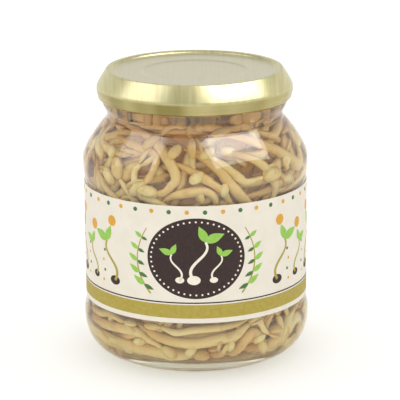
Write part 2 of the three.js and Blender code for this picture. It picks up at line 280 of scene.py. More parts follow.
def placeLights():
    # A box stands the distance from the target along its azimuth (from -Y towards +X) and elevation
    target = Vector(studioPlan["target"])
    for box in studioPlan["softboxes"]:
        azimuth, elevation = math.radians(box["azimuth"]), math.radians(box["elevation"])
        outward = Vector((math.sin(azimuth) * math.cos(elevation), -math.cos(azimuth) * math.cos(elevation),
                          math.sin(elevation)))
        level = Vector((0, 0, 1)).cross(outward).normalized()
        upright = outward.cross(level)
        turn = math.radians(box["turn"])
        across = level * math.cos(turn) + upright * math.sin(turn)
        lamp = bpy.data.lights.new(box["name"], "AREA")
        lamp.shape = "RECTANGLE"
        lamp.size, lamp.size_y = box["size"]
        lamp.energy = box["watts"]
        lamp.color = linearColour(box["hex"])[:3]
        lampObject = bpy.data.objects.new(box["name"], lamp)
        lampObject.matrix_world = Matrix.Translation(target + outward * box["distance"]) @ Matrix(
            (across, outward.cross(across), outward)).transposed().to_4x4()
        lampObject.visible_diffuse = box["shows"] == "diffuse"
        lampObject.visible_glossy = box["shows"] == "gloss"
        scene.collection.objects.link(lampObject)

    # A wide soft panel overhead lights the floor and the sprouts, and isn't mirrored in the glass
    panel = bpy.data.lights.new("overheadPanel", "SUN")
    panel.energy = studioPlan["overhead"]["strength"]
    panel.angle = math.radians(studioPlan["overhead"]["spreadDegrees"])
    panelObject = bpy.data.objects.new("overheadPanel", panel)
    panelObject.visible_glossy = False
    scene.collection.objects.link(panelObject)

    # The room is white low down, where the backdrop stands, and greyer above
    world = bpy.data.worlds.new("studioRoom")
    world.use_nodes = True
    tree = world.node_tree
    tree.nodes.clear()
    direction = addNode(tree, "ShaderNodeTexCoord").outputs["Generated"]
    axes = addNode(tree, "ShaderNodeSeparateXYZ", links={0: direction})
    grey = addNode(tree, "ShaderNodeValToRGB", links={"Fac": axes.outputs["Z"]})
    rampColours(grey, studioPlan["roomGreys"])
    room = addNode(tree, "ShaderNodeBackground", {"Strength": studioPlan["roomStrength"]},
                   {"Color": grey.outputs["Color"]})
    addNode(tree, "ShaderNodeOutputWorld", links={"Surface": room.outputs[0]})
    scene.world = world
    scene.view_settings.view_transform = "Standard"


def makeFloor():
    # Matt white acrylic sheet, lit from below: shadows stay faint, and the thick base of the jar is bright
    material, tree = newMaterial("opalAcrylicLightTable")
    sheet = addNode(tree, "ShaderNodeBsdfPrincipled", {
        "Base Color": linearColour(studioPlan["floorHex"]), "Roughness": 0.9, "Specular IOR Level": 0.2,
        "Emission Color": linearColour(studioPlan["floorGlowHex"]),
        "Emission Strength": studioPlan["floorGlow"],
    })
    addNode(tree, "ShaderNodeOutputMaterial", links={"Surface": sheet.outputs[0]})
    half = studioPlan["floorHalfMetres"]
    mesh = bpy.data.meshes.new("studioFloor")
    corners = [(-half, -half, 0), (half, -half, 0), (half, half, 0), (-half, half, 0)]
    mesh.from_pydata(corners, [], [(0, 1, 2, 3)])
    mesh.materials.append(material)
    floor = bpy.data.objects.new("studioFloor", mesh)
    scene.collection.objects.link(floor)


# Jar: one moulded piece of flint glass

jarPlan = {
    "facets": 192,
    "arcSteps": 26,
    "longestStep": 1.6,
    "punt": [(0.0, 2.2), (12.3, 1.8), (23.8, 0.7)],
    "standingRing": [(24.6, 0.0), (27.6, 0.0)],
    "heel": {"centre": (21.06, 16.8), "radius": 39.88, "height": 16.8, "power": 2.72, "degrees": (-74, 0)},
    "panel": [(38.95, 20.3), (38.95, 64.2), (39.46, 67.5)],
    "shoulder": {"centre": (26.66, 71.94), "radius": 39.46, "height": 16.96, "power": 1.24,
                 "degrees": (0, 60.2)},
    "neck": [(30.8, 87.6), (31.5, 88.9), (32.2, 90.2), (32.2, 91.4), (31.9, 91.8), (31.2, 92.1)],
    "mouth": [(31.2, 99.6), (30.8, 100.45), (29.9, 100.7), (29.2, 100.7), (28.3, 100.3)],
    "floorRise": [(0.0, 6.0), (10.25, 5.5)],
    "innerHeel": {"centre": (20.5, 16.8), "radius": 36.5, "height": 12.4, "power": 2.5, "degrees": (-90, 0)},
    "innerShoulder": {"centre": (24.6, 70.4), "radius": 36.5, "height": 17.7, "power": 1.24,
                      "degrees": (0, 62.6)},
    "bore": (28.0, 99.2),
    "waveMm": 0.05,
}

threadPlan = {
    "starts": 4,
    "firstTurn": 20.0,  # degrees, middle of a lug
    "lugHalfWidth": 7.0,
    "lead": 2.0,
    "length": 68.0,
    "lowest": 94.87,  # height of a ramp's middle where it begins
    "risePerDegree": 2.0 * math.pi / 180,
    "centreRadius": 31.0,
    "reach": 1.6,
    "halfHeight": 0.62,
    "fadeShare": 0.1,  # of the length, at each end
    "zone": (93.4, 99.5),
    "fineStep": 0.22,
}


def jarArc(key, steps):
    # One of the four curved stretches of the jar's section
    curve = jarPlan[key]
    return superArc(curve["centre"], curve["radius"] - curve["centre"][0], curve["height"], curve["power"],
                    *curve["degrees"], steps)


def innerWall(top, steps):
    # Inside of the glass, from the middle of the floor up to the given height in the bore
    return np.vstack([jarPlan["floorRise"], jarArc("innerHeel", steps), jarArc("innerShoulder", steps),
                      [(jarPlan["bore"][0], top)]])


def jarOutline():
    steps = jarPlan["arcSteps"]
    heelArc, shoulderArc = jarArc("heel", steps), jarArc("shoulder", steps)
    outside = joinStretches([
        (jarPlan["punt"], 2.0), (jarPlan["standingRing"], 0.8), (heelArc[:2], 0.6), (heelArc[2:], 0),
        (jarPlan["panel"], 1.4), (shoulderArc[:-1], 0), (shoulderArc[-1:], 0.6), (jarPlan["neck"], 0.5),
        (jarPlan["mouth"], 0.35),
    ])
    inside = joinStretches([(innerWall(jarPlan["bore"][1], steps)[::-1], 0.2)])
    return outside, inside


def makeJar(material):
    plan = threadPlan
    lowest, highest = plan["zone"]
    outside, inside = jarOutline()
    besideThread = outside[:, 1] > lowest
    outside = np.vstack([refine(outside[~besideThread], jarPlan["longestStep"]),
                         refine(outside[besideThread], plan["fineStep"])])
    outline = np.vstack([outside, refine(inside, jarPlan["longestStep"])])
    radius, height, angle = turnGrid(outline, jarPlan["facets"])
    # Ramps: r = the greater of the wall and 31.0 + 1.6 sqrt(1 - ((z - rising middle) / 0.62)^2)
    isOutside = (np.arange(len(outline)) < len(outside))[:, None]
    for i in range(plan["starts"]):
        begin = plan["firstTurn"] + i * 360 / plan["starts"] - plan["lugHalfWidth"] - plan["lead"]
        along = (np.degrees(angle) - begin) % 360
        share = along / plan["length"]
        swell = np.sqrt(np.clip(np.minimum(share, 1 - share) / plan["fadeShare"], 0, 1))
        middle = plan["lowest"] + plan["risePerDegree"] * along
        away = (height - middle) / (plan["halfHeight"] * np.maximum(swell, 0.05))
        ridge = plan["centreRadius"] + plan["reach"] * swell * np.sqrt(np.clip(1 - away ** 2, 0, 1))
        onRamp = isOutside & (height > lowest) & (height < highest) & (swell > 0)
        radius = np.where(onRamp, np.maximum(radius, ridge), radius)
    # Moulded glass is never quite even: a slow wave of a few hundredths of a millimetre inside
    wave = jarPlan["waveMm"] * np.sin(3 * angle + 0.16 * height) * np.sin(0.21 * height + 2 * angle)
    radius = np.where(isOutside, radius, radius - wave * np.clip(radius / 10, 0, 1))
    piece = shellPiece("jarFlintGlass", ringsFrom(radius, height, angle), material)
    return settlePiece(piece, "jar", ["jar_glass"])


def clearMaterial(name, tint, absorbHex, density, ior, passTint):
    # Moulded glass or still brine: the eye sees through it by refraction, and thick parts take its colour.
    # Light on its way to what stands inside goes straight through, or the jar's inside would be black.
    material, tree = newMaterial(name)
    body = addNode(tree, "ShaderNodeBsdfPrincipled", {
        "Base Color": linearColour(tint), "Roughness": 0.0, "IOR": ior, "Transmission Weight": 1.0,
    })
    straight = addNode(tree, "ShaderNodeBsdfTransparent", {"Color": linearColour(passTint)})
    path = addNode(tree, "ShaderNodeLightPath")
    either = addNode(tree, "ShaderNodeMath", {"operation": "MAXIMUM"}, {
        0: path.outputs["Is Shadow Ray"], 1: path.outputs["Is Diffuse Ray"]})
    mixed = addNode(tree, "ShaderNodeMixShader", links={
        0: either.outputs[0], 1: body.outputs[0], 2: straight.outputs[0]})
    inside = addNode(tree, "ShaderNodeVolumeAbsorption", {
        "Color": linearColour(absorbHex), "Density": density})
    addNode(tree, "ShaderNodeOutputMaterial", links={
        "Surface": mixed.outputs[0], "Volume": inside.outputs[0]})
    return material


# Brine: the whole body of liquid. It reaches 0.05 mm into the glass, so that no film of air lies between.

brinePlan = {
    "facets": 128,
    "level": 91.5,
    "overlap": 0.05,
    "meniscus": 0.7,
    "meniscusWidth": 2.2,
    "arcSteps": 20,
    "longestStep": 2.0,
    "surfaceRings": 22,
}


def makeBrine(material):
    plan = brinePlan
    inner = innerWall(jarPlan["bore"][1], plan["arcSteps"])
    wall = refine(joinStretches([(inner, 0.2)]), plan["longestStep"])
    wall = wall[wall[:, 1] <= plan["level"] + plan["meniscus"]]
    along = unit(np.gradient(wall, axis=0))
    wall = wall + np.column_stack([along[:, 1], -along[:, 0]]) * (plan["overlap"] + jarPlan["waveMm"])
    wall[0, 0] = 0
    # Surface: z = level + meniscus e^(-distance from the glass / width)
    edge = wall[-1, 0]
    radius = edge * np.linspace(1, 0, plan["surfaceRings"])
    climb = np.exp(-(edge - radius) / plan["meniscusWidth"])
    surface = np.column_stack([radius, plan["level"] + plan["meniscus"] * climb])
    rings = ringsFrom(*turnGrid(np.vstack([wall, surface[1:]]), plan["facets"]))
    piece = shellPiece("brineLiquid", rings, material)
    return settlePiece(piece, "jar", ["brine"])


# Lid: one pressing of gold lacquered tinplate with four lugs, and its ring of sealing compound

lidPlan = {
    "facets": 240,
    "plate": 0.4,
    "button": [(0.0, 100.9), (17.6, 100.9)],
    "panel": [(18.5, 101.25), (27.5, 101.25), (28.2, 101.5), (28.6, 102.0), (29.0, 102.3)],
    "bevel": {"crease": (30.7, 102.3), "corner": (34.2, 96.6), "bulge": 0.12, "steps": 5},
    "skirtFoot": (34.2, 94.4),
    "curl": [(33.82, 93.5), (33.82, 92.65), (33.385, 92.25), (32.95, 92.65), (32.95, 93.1), (33.385, 93.5)],
    "underRiser": [(29.35, 101.9), (28.75, 101.5), (28.3, 101.05)],
    "lugReach": 1.4,
    "lugRoot": (33.36, 0.36, 94.0),  # radius where a lug begins, the width it fades over, and its top
    "lugFlankDegrees": 1.6,
    "buttonRings": [(11.0, 0.7), (14.4, 0.7)],  # radius and width of each shallow groove
    "buttonRingDepth": 0.06,
    "buttonRingFloor": 100.0,  # only what stands higher takes the grooves
}


def makeLid(material):
    plan, plate, bevel = lidPlan, lidPlan["plate"], lidPlan["bevel"]
    # Bevel: crease + s (corner - crease), pushed outwards by 4 bulge s (1 - s)
    share = np.linspace(0, 1, bevel["steps"] + 1)[:, None]
    run = np.subtract(bevel["corner"], bevel["crease"])
    outward = np.array([-run[1], run[0]]) / np.linalg.norm(run)
    bevelArc = bevel["crease"] + share * run + 4 * bevel["bulge"] * share * (1 - share) * outward
    shell = np.vstack([plan["panel"][-1], bevelArc, plan["skirtFoot"]])
    underBevel = offsetOutline(shell, -plate)[1:-1][::-1]
    above = joinStretches([
        (plan["button"], 0.8), (plan["panel"], 0.35), (bevelArc[:1], 0.16), (bevelArc[1:-1], 0),
        (bevelArc[-1:], 0.5), ([plan["skirtFoot"]], 0.3), (plan["curl"], 0.38),
        ([(plan["skirtFoot"][0] - plate, plan["skirtFoot"][1])], 0.2), (underBevel[:1], 0.4),
        (underBevel[1:], 0), (plan["underRiser"], 0.3), (np.subtract(plan["panel"][1::-1], (0, plate)), 0.3),
        (np.subtract(plan["button"][::-1], (0, plate)), 0.8),
    ], steps=6)
    outline = refine(above, 0.7)
    for radius, width in plan["buttonRings"]:
        groove = np.exp(-((outline[:, 0] - radius) / width) ** 2)
        outline[:, 1] -= plan["buttonRingDepth"] * groove * (outline[:, 1] > plan["buttonRingFloor"])
    radius, height, angle = turnGrid(outline, plan["facets"])
    # Lugs: the inner side of the curl is pressed in by 1.4 mm, over 14 degrees, with soft flanks
    pitch = 360 / threadPlan["starts"]
    fromLug = np.abs((np.degrees(angle) - threadPlan["firstTurn"] + pitch / 2) % pitch - pitch / 2)
    soft = plan["lugFlankDegrees"]
    flank = np.clip((threadPlan["lugHalfWidth"] + soft - fromLug) / soft, 0, 1)
    rootRadius, fade, top = plan["lugRoot"]
    onCurl = np.clip((rootRadius - radius) / fade, 0, 1) * (height < top)
    radius = radius - plan["lugReach"] * onCurl * flank * flank * (3 - 2 * flank)
    piece = shellPiece("lidTinplate", ringsFrom(radius, height, angle), material)
    return settlePiece(piece, "lid", ["lid"])


sealPlan = {
    "facets": 160,
    "outline": [(28.9, 100.8), (30.85, 100.8), (30.5, 101.3), (30.0, 101.8), (29.55, 101.8), (29.05, 101.3)],
}


def makeSeal(material):
    corners = sealPlan["outline"]
    start = [np.mean([corners[0], corners[-1]], axis=0)]
    outline = joinStretches([(start, 0), (corners, 0.25), (start, 0)])[:-1]
    rings = ringsFrom(*turnGrid(outline, sealPlan["facets"]))
    piece = shellPiece("sealCompoundRing", rings, material, closedAlong=True)
    return settlePiece(piece, "seal", ["lid_seal"])


def lidMaterial():
    # Tinplate, rolled, pressed and stoved with gold lacquer: bright olive gold on the shoulder, darker on
    # the skirt as painted shade, softer and paler on the flat panel, and the faint straight grain of the
    # rolled sheet.
    # The panel lies inside 28 mm and the skirt below 96 mm, which Object coordinates give in metres.
    material, tree = newMaterial("tinplateGoldLacquered")
    place = addNode(tree, "ShaderNodeTexCoord").outputs["Object"]
    axes = addNode(tree, "ShaderNodeSeparateXYZ", links={0: place})
    flat = addNode(tree, "ShaderNodeCombineXYZ", links={0: axes.outputs["X"], 1: axes.outputs["Y"]})
    radius = addNode(tree, "ShaderNodeVectorMath", {"operation": "LENGTH"}, {0: flat.outputs[0]})
    onPanel = addNode(tree, "ShaderNodeMapRange", {
        "interpolation_type": "SMOOTHSTEP", "From Min": 0.0283, "From Max": 0.0278,
    }, {"Value": radius.outputs["Value"]})
    skirtShadeMask = addNode(tree, "ShaderNodeMapRange", {
        "interpolation_type": "SMOOTHSTEP", "From Min": 0.0967, "From Max": 0.0957,
    }, {"Value": axes.outputs["Z"]})
    stretched = addNode(tree, "ShaderNodeMapping", {"Scale": (900.0, 40.0, 120.0)},
                        {"Vector": place})  # grain about 1 mm wide, 25 mm long
    grain = addNode(tree, "ShaderNodeTexNoise", {"Scale": 1.0, "Detail": 3.0, "Roughness": 0.6},
                    {"Vector": stretched.outputs[0]})
    gold = addNode(tree, "ShaderNodeValToRGB", links={"Fac": grain.outputs["Fac"]})
    rampColours(gold, [(0.3, "#c0b886"), (0.7, "#d2cb9c")])
    upright = addNode(tree, "ShaderNodeMapping", {"Scale": (70.0, 70.0, 4.0)},
                      {"Vector": place})  # painted shade on the skirt, darker and lighter about 15 mm apart
    run = addNode(tree, "ShaderNodeTexNoise", {"Scale": 1.0, "Detail": 1.0}, {"Vector": upright.outputs[0]})
    skirtShade = addNode(tree, "ShaderNodeValToRGB", links={"Fac": run.outputs["Fac"]})
    rampColours(skirtShade, [(0.36, "#8f8450"), (0.64, "#bdb27e")])
    # Painted shade: below 96 mm the skirt takes the darker, uneven gold, for the shade it shows
    goldAndSkirtShade = addNode(tree, "ShaderNodeMix", {"data_type": "RGBA"}, {
        0: skirtShadeMask.outputs["Result"], 6: gold.outputs["Color"], 7: skirtShade.outputs["Color"]})
    pale = addNode(tree, "ShaderNodeValToRGB", links={"Fac": grain.outputs["Fac"]})
    rampColours(pale, [(0.3, "#d6cfb2"), (0.7, "#dad4ba")])
    colour = addNode(tree, "ShaderNodeMix", {"data_type": "RGBA"}, {
        0: onPanel.outputs["Result"], 6: goldAndSkirtShade.outputs[2], 7: pale.outputs["Color"]})
    rough = addNode(tree, "ShaderNodeMapRange", {"To Min": 0.32, "To Max": 0.42},
                    {"Value": onPanel.outputs["Result"]})
    dimples = addNode(tree, "ShaderNodeTexNoise", {"Scale": 260.0, "Detail": 2.0},
                      {"Vector": place})  # the sheet's slight unevenness, about 4 mm
    bump = addNode(tree, "ShaderNodeBump", {"Strength": 0.05, "Distance": 0.001},
                   {"Height": dimples.outputs["Fac"]})
    metal = addNode(tree, "ShaderNodeBsdfPrincipled", {
        "Metallic": 1.0, "Coat Weight": 0.08, "Coat Roughness": 0.2,
    }, {"Base Color": colour.outputs[2], "Roughness": rough.outputs["Result"],
        "Normal": bump.outputs["Normal"]})
    addNode(tree, "ShaderNodeOutputMaterial", links={"Surface": metal.outputs[0]})
    return material


def sealMaterial():
    # Plastisol, poured and baked in the lid: soft, cream, matt
    material, tree = newMaterial("plastisolPoured")
    place = addNode(tree, "ShaderNodeTexCoord").outputs["Object"]
    cloud = addNode(tree, "ShaderNodeTexNoise", {"Scale": 300.0, "Detail": 3.0}, {"Vector": place})
    colour = addNode(tree, "ShaderNodeValToRGB", links={"Fac": cloud.outputs["Fac"]})
    rampColours(colour, [(0.3, "#cdc6b0"), (0.7, "#dad4c2")])
    soft = addNode(tree, "ShaderNodeBsdfPrincipled", {"Roughness": 0.6, "IOR": 1.5},
                   {"Base Color": colour.outputs["Color"]})
    addNode(tree, "ShaderNodeOutputMaterial", links={"Surface": soft.outputs[0]})
    return material


# Label: a band of coated paper, with its overlap raised at the back, and flat inks printed on it

labelPlan = {
    "facets": 288,
    "innerRadius": 39.02,
    "outerRadius": 39.2,
    "bottom": 21.5,
    "top": 62.8,
    "seamDegrees": 187.0,  # from the middle of the front
    "overlapDegrees": 11.0,
    "overlapLift": 0.12,
    "seamEdgeDegrees": 0.9,
    "fadeDegrees": 4.0,
    "longestStep": 3.0,
}


def overlapLift(turn):
    # The overlapping end stands 0.12 mm higher from the back seam on, and sinks back over the last 4 of
    # its 11 degrees
    plan = labelPlan
    pastSeam = (np.degrees(turn) - plan["seamDegrees"]) % 360
    edge = np.clip(pastSeam / plan["seamEdgeDegrees"], 0, 1)
    fade = np.clip((plan["overlapDegrees"] - pastSeam) / plan["fadeDegrees"], 0, 1)
    return plan["overlapLift"] * edge * fade


def makeLabel(material):
    plan = labelPlan
    inner, outer, bottom, top = plan["innerRadius"], plan["outerRadius"], plan["bottom"], plan["top"]
    start = [(inner, (bottom + top) / 2)]
    strip = [(inner, bottom), (outer, bottom), (outer, top), (inner, top)]
    outline = joinStretches([(start, 0), (strip, 0.05), (start, 0)])[:-1]
    outline = refine(np.vstack([outline, outline[:1]]), plan["longestStep"])[:-1]
    radius, height, angle = turnGrid(outline, plan["facets"])
    radius = radius + (radius > (inner + outer) / 2) * overlapLift(angle + np.pi / 2)
    piece = shellPiece("labelPaper", ringsFrom(radius, height, angle), material, closedAlong=True)
    return settlePiece(piece, "jar", ["label"])


def inkDisc(middle, halfWidth, halfHeight, steps=10):
    # Square grid (x, y) drawn to a disc: (x sqrt(1 - y^2/2), y sqrt(1 - x^2/2))
    x, y = np.meshgrid(np.linspace(-1, 1, steps + 1), np.linspace(-1, 1, steps + 1))
    return np.stack([middle[0] + halfWidth * x * np.sqrt(1 - y ** 2 / 2),
                     middle[1] + halfHeight * y * np.sqrt(1 - x ** 2 / 2)], axis=-1)


def inkBar(left, right, bottom, top, steps=2):
    # Upright rectangle, in even steps from left to right
    x, y = np.meshgrid(np.linspace(left, right, steps + 1), np.linspace(bottom, top, 2))
    return np.stack([x, y], axis=-1)


def inkLeaf(root, length, width, degrees, curl=0.12, steps=14):
    # Half width = 0.5 width sin(pi u^0.8) + 0.03, about a midrib that bends by curl * length * u^2
    u, v = np.meshgrid(np.linspace(0, 1, steps + 1), np.linspace(-1, 1, 5))
    half = 0.5 * width * np.sin(np.pi * u ** 0.8) + 0.03
    along, across = length * u, curl * length * u ** 2 + half * v
    angle = math.radians(degrees)
    return np.stack([root[0] + along * math.cos(angle) - across * math.sin(angle),
                     root[1] + along * math.sin(angle) + across * math.cos(angle)], axis=-1)


def bezier(points, t):
    # Sum of C(n, k) t^k (1 - t)^(n - k) times control point k
    degree = len(points) - 1
    return sum(math.comb(degree, k) * t ** k * (1 - t) ** (degree - k) * np.array(points[k], float)
               for k in range(degree + 1))


def inkStroke(points, startWidth, endWidth, steps=26):
    # Bezier curve through its control points, with a width that changes evenly
    t = np.linspace(0, 1, steps + 1)[:, None]
    centre = bezier(points, t)
    along = unit(np.gradient(centre, axis=0))
    side = np.column_stack([-along[:, 1], along[:, 0]])
    half = 0.5 * (startWidth + (endWidth - startWidth) * t)
    return np.stack([centre - side * half, centre, centre + side * half])


def makeInk(name, sheets, lift, material):
    # A flat grid of (arc length, height) wraps the label: (R sin(s / R), -R cos(s / R), h).
    # Its top stands the lift above the paper, its underside is sunk in it, and a rim closes the two.
    paper = labelPlan["outerRadius"]
    corners, quads, first = [], [], 0
    for sheet in sheets:
        rows, columns = sheet.shape[:2]
        turn = sheet[..., 0] / paper
        raised = paper + overlapLift(turn)
        layers = [np.stack([r * np.sin(turn), -r * np.cos(turn), sheet[..., 1]], axis=-1).reshape(-1, 3)
                  for r in (raised + lift, raised - printPlan["sunk"])]
        index = np.arange(rows * columns).reshape(rows, columns)
        top = np.stack([index[:-1, :-1], index[:-1, 1:], index[1:, 1:], index[1:, :-1]], axis=-1)
        top = top.reshape(-1, 4)
        under = top[:, ::-1] + rows * columns
        border = np.concatenate([index[0, :-1], index[:-1, -1], index[-1, :0:-1], index[:0:-1, 0]])
        after = np.roll(border, -1)
        rim = np.stack([after, border, border + rows * columns, after + rows * columns], axis=-1)
        faces = np.vstack([top, under, rim])
        area = np.cross(sheet[0, 1] - sheet[0, 0], sheet[1, 0] - sheet[0, 0])
        corners.append(np.vstack(layers))
        quads.append((faces if area > 0 else faces[:, ::-1]) + first)
        first += 2 * rows * columns
    piece = buildPiece(name, np.vstack(corners), np.vstack(quads), np.zeros((0, 3), int), material,
                       sharpDegrees=40)
    return settlePiece(piece, "jar")


printPlan = {
    "sunk": 0.05,
    # Height above the paper. White lies under the bars, and cream and green lie on the brown badge.
    "lifts": {"white": 0.02, "brown": 0.035, "olive": 0.045, "ochre": 0.04, "leafGreen": 0.06,
              "deepGreen": 0.06, "cream": 0.065},
    "badge": {"middle": (0.0, 44.4), "halfWidth": 17.0, "halfHeight": 14.2, "dots": 48, "dotInset": 1.3,
              "dotRadius": 0.34, "footDrop": 7.6,
              "sprouts": [(-5.6, 9.0, -1), (-0.8, 13.4, 1), (6.0, 8.4, 1)]},  # offset, size, lean
    "band": {"bottom": 23.2, "top": 28.0, "rule": (0.5, 0.95), "steps": 400},
    "sprig": {"rootIn": 1.0, "rootDrop": 13.0, "arch": [(0.0, 0.0), (6.4, 7.0), (6.4, 15.0), (1.2, 23.0)],
              "pairs": 5, "leafDegrees": 25},
    "tall": {"sprouts": [(31.0, 13.5), (42.0, 10.5), (53.0, 13.5)],  # place, size
             "foot": 33.6, "discRight": 1.2, "discHeight": 54.6, "discDrop": 3.4, "discRadius": 1.9,
             "dots": 4, "dotRight": 6.2, "dotShift": 0.8, "dotFoot": 32.6, "dotPitch": 3.6, "dotRadius": 0.5},
    "dotRow": {"height": 60.6, "spacing": 6.16, "count": 40, "radius": 0.75},
    "hatch": {"left": 64.5, "right": 76.5, "bottom": 32.0, "top": 56.0, "bars": 11, "margin": 1.4,
              "firstBar": 1.2, "spare": 2.0, "barShare": 0.42},
    "dashes": {"count": 3, "gap": 2.0, "width": 0.45, "pitch": 8.2, "length": 6.0},
    "back": {"leaves": 4, "leafPlace": 84, "leafHeight": 40.0, "dotPlace": 87, "dotHeight": 36.0,
             "pitch": 6.4, "rules": (31.0, 54.5), "ruleEnds": (80.0, 109.0), "ruleWidth": 0.5},
}


def sproutMotif(foot, size, lean):
    # A bean with two leaves on a bent stalk: stroke, bean and leaves, for two colours
    x, y = foot
    tip = (x + 0.30 * lean * size, y + size)
    bends = [foot, (x - 0.35 * lean * size, y + 0.45 * size), (x + 0.55 * lean * size, y + 0.6 * size), tip]
    stalk = inkStroke(bends, 0.08 * size, 0.06 * size)
    leaves = [inkLeaf(tip, 0.52 * size, 0.24 * size, 28 if lean > 0 else 152, -0.1 * lean),
              inkLeaf(tip, 0.44 * size, 0.22 * size, 105 if lean > 0 else 75, 0.12 * lean)]
    bean = inkDisc((x, y), 0.17 * size, 0.12 * size)
    return stalk, leaves, bean


def makePrint(inks):
    sheets = {ink: [] for ink in printPlan["lifts"]}
    half = math.pi * labelPlan["outerRadius"]
    badge, sprig, tall, dots = (printPlan[key] for key in ("badge", "sprig", "tall", "dotRow"))
    band, hatch, dash, back = (printPlan[key] for key in ("band", "hatch", "dashes", "back"))
    middleX, middleY = badge["middle"]

    # Badge: a brown oval with a ring of cream dots in it, round three sprouts that grow from beans
    sheets["brown"].append(inkDisc(badge["middle"], badge["halfWidth"], badge["halfHeight"], 26))
    for turn in np.linspace(0, 2 * np.pi, badge["dots"], endpoint=False):
        spot = (middleX + (badge["halfWidth"] - badge["dotInset"]) * math.cos(turn),
                middleY + (badge["halfHeight"] - badge["dotInset"]) * math.sin(turn))
        sheets["cream"].append(inkDisc(spot, badge["dotRadius"], badge["dotRadius"], 4))
    for offset, size, lean in badge["sprouts"]:
        stalk, leaves, bean = sproutMotif((middleX + offset, middleY - badge["footDrop"]), size, lean)
        sheets["cream"] += [stalk, bean]
        sheets["leafGreen"] += leaves

    # Band: an olive stripe round the foot of the label, from seam to seam, and a thin brown rule over it
    seam = (math.radians(labelPlan["seamDegrees"]) - 2 * math.pi) * labelPlan["outerRadius"]
    for ink, low, high in (("olive", band["bottom"], band["top"]),
                           ("brown", band["top"] + band["rule"][0], band["top"] + band["rule"][1])):
        sheets[ink].append(inkBar(seam, seam + 2 * half, low, high, band["steps"]))

    for side in (-1, 1):
        # A sprig of paired leaves arches round the badge
        root = (middleX + side * (badge["halfWidth"] - sprig["rootIn"]), middleY - sprig["rootDrop"])
        arch = [(root[0] + side * x, root[1] + y) for x, y in sprig["arch"]]
        sheets["olive"].append(inkStroke(arch, 0.6, 0.3))
        away = sprig["leafDegrees"] if side > 0 else 180 - sprig["leafDegrees"]
        for k in range(sprig["pairs"]):
            spot = bezier(arch, 0.14 + 0.18 * k)
            sheets["leafGreen"].append(inkLeaf(spot, 4.9 - 0.45 * k, 1.9 - 0.12 * k, away, 0.15 * side))
            sheets["deepGreen"].append(
                inkLeaf(spot, 3.8 - 0.4 * k, 1.4 - 0.1 * k, 180 - away + side * 55, -0.1 * side))

        # Three tall sprouts with beans, an ochre disc over each, and dots between them
        for k, (place, size) in enumerate(tall["sprouts"]):
            stalk, leaves, bean = sproutMotif((side * place, tall["foot"]), size, side)
            sheets["olive"].append(stalk)
            sheets["leafGreen"] += leaves
            sheets["brown"].append(bean)
            disc = (side * (place + tall["discRight"]), tall["discHeight"] - tall["discDrop"] * (k % 2))
            sheets["ochre"].append(inkDisc(disc, tall["discRadius"], tall["discRadius"], 12))
            for n in range(tall["dots"]):
                spot = (side * (place + tall["dotRight"] - tall["dotShift"] * (n % 2)),
                        tall["dotFoot"] + tall["dotPitch"] * n)
                sheets["deepGreen" if n % 2 else "ochre"].append(
                    inkDisc(spot, tall["dotRadius"], tall["dotRadius"], 5))

        # Back: a row of ochre leaves on each side of the seam, dots under them, and thin olive rules
        for k in range(back["leaves"]):
            leafFoot = (side * (back["leafPlace"] + back["pitch"] * k), back["leafHeight"])
            sheets["ochre"].append(inkLeaf(leafFoot, 5.2, 2.2, 90 - side * 30, 0.0))
            spot = (side * (back["dotPlace"] + back["pitch"] * k), back["dotHeight"])
            sheets["deepGreen"].append(inkDisc(spot, 0.6, 0.6, 5))
        left, right = sorted(side * end for end in back["ruleEnds"])
        for height in back["rules"]:
            sheets["olive"].append(inkBar(left, right, height, height + back["ruleWidth"], 40))

    # Row of dots under the top edge
    for k in range(dots["count"]):
        spot = (-half + (k + 0.5) * dots["spacing"], dots["height"])
        sheets["ochre" if k % 2 else "deepGreen"].append(inkDisc(spot, dots["radius"], dots["radius"], 6))

    # Right side, past the tall sprouts: a white panel with an even hatch of upright bars, and dashes by it
    sheets["white"].append(inkBar(hatch["left"], hatch["right"], hatch["bottom"], hatch["top"], 10))
    pitch = (hatch["right"] - hatch["left"] - hatch["spare"]) / hatch["bars"]
    for k in range(hatch["bars"]):
        left = hatch["left"] + hatch["firstBar"] + k * pitch
        sheets["brown"].append(inkBar(left, left + hatch["barShare"] * pitch,
                                      hatch["bottom"] + hatch["margin"], hatch["top"] - hatch["margin"], 1))
    for n in range(dash["count"]):
        left, low = hatch["right"] + dash["gap"], hatch["bottom"] + n * dash["pitch"]
        sheets["olive"].append(inkBar(left, left + dash["width"], low, low + dash["length"], 1))

    for ink, lift in printPlan["lifts"].items():
        makeInk("ink" + ink[0].upper() + ink[1:], sheets[ink], lift, inks[ink])


def paperMaterial():
    # Coated paper, calendered and glued wet: even cream, with a soft satin and the least cockle
    material, tree = newMaterial("coatedPaperCream")
    place = addNode(tree, "ShaderNodeTexCoord").outputs["Object"]
    cloud = addNode(tree, "ShaderNodeTexNoise", {"Scale": 180.0, "Detail": 4.0}, {"Vector": place})
    colour = addNode(tree, "ShaderNodeValToRGB", links={"Fac": cloud.outputs["Fac"]})
    rampColours(colour, [(0.3, "#e4ddcd"), (0.7, "#eae3d5")])
    cockle = addNode(tree, "ShaderNodeTexNoise", {"Scale": 70.0, "Detail": 2.0}, {"Vector": place})
    bump = addNode(tree, "ShaderNodeBump", {"Strength": 0.12, "Distance": 0.0006},
                   {"Height": cockle.outputs["Fac"]})
    sheet = addNode(tree, "ShaderNodeBsdfPrincipled", {"Roughness": 0.55, "IOR": 1.5},
                    {"Base Color": colour.outputs["Color"], "Normal": bump.outputs["Normal"]})
    addNode(tree, "ShaderNodeOutputMaterial", links={"Surface": sheet.outputs[0]})
    return material


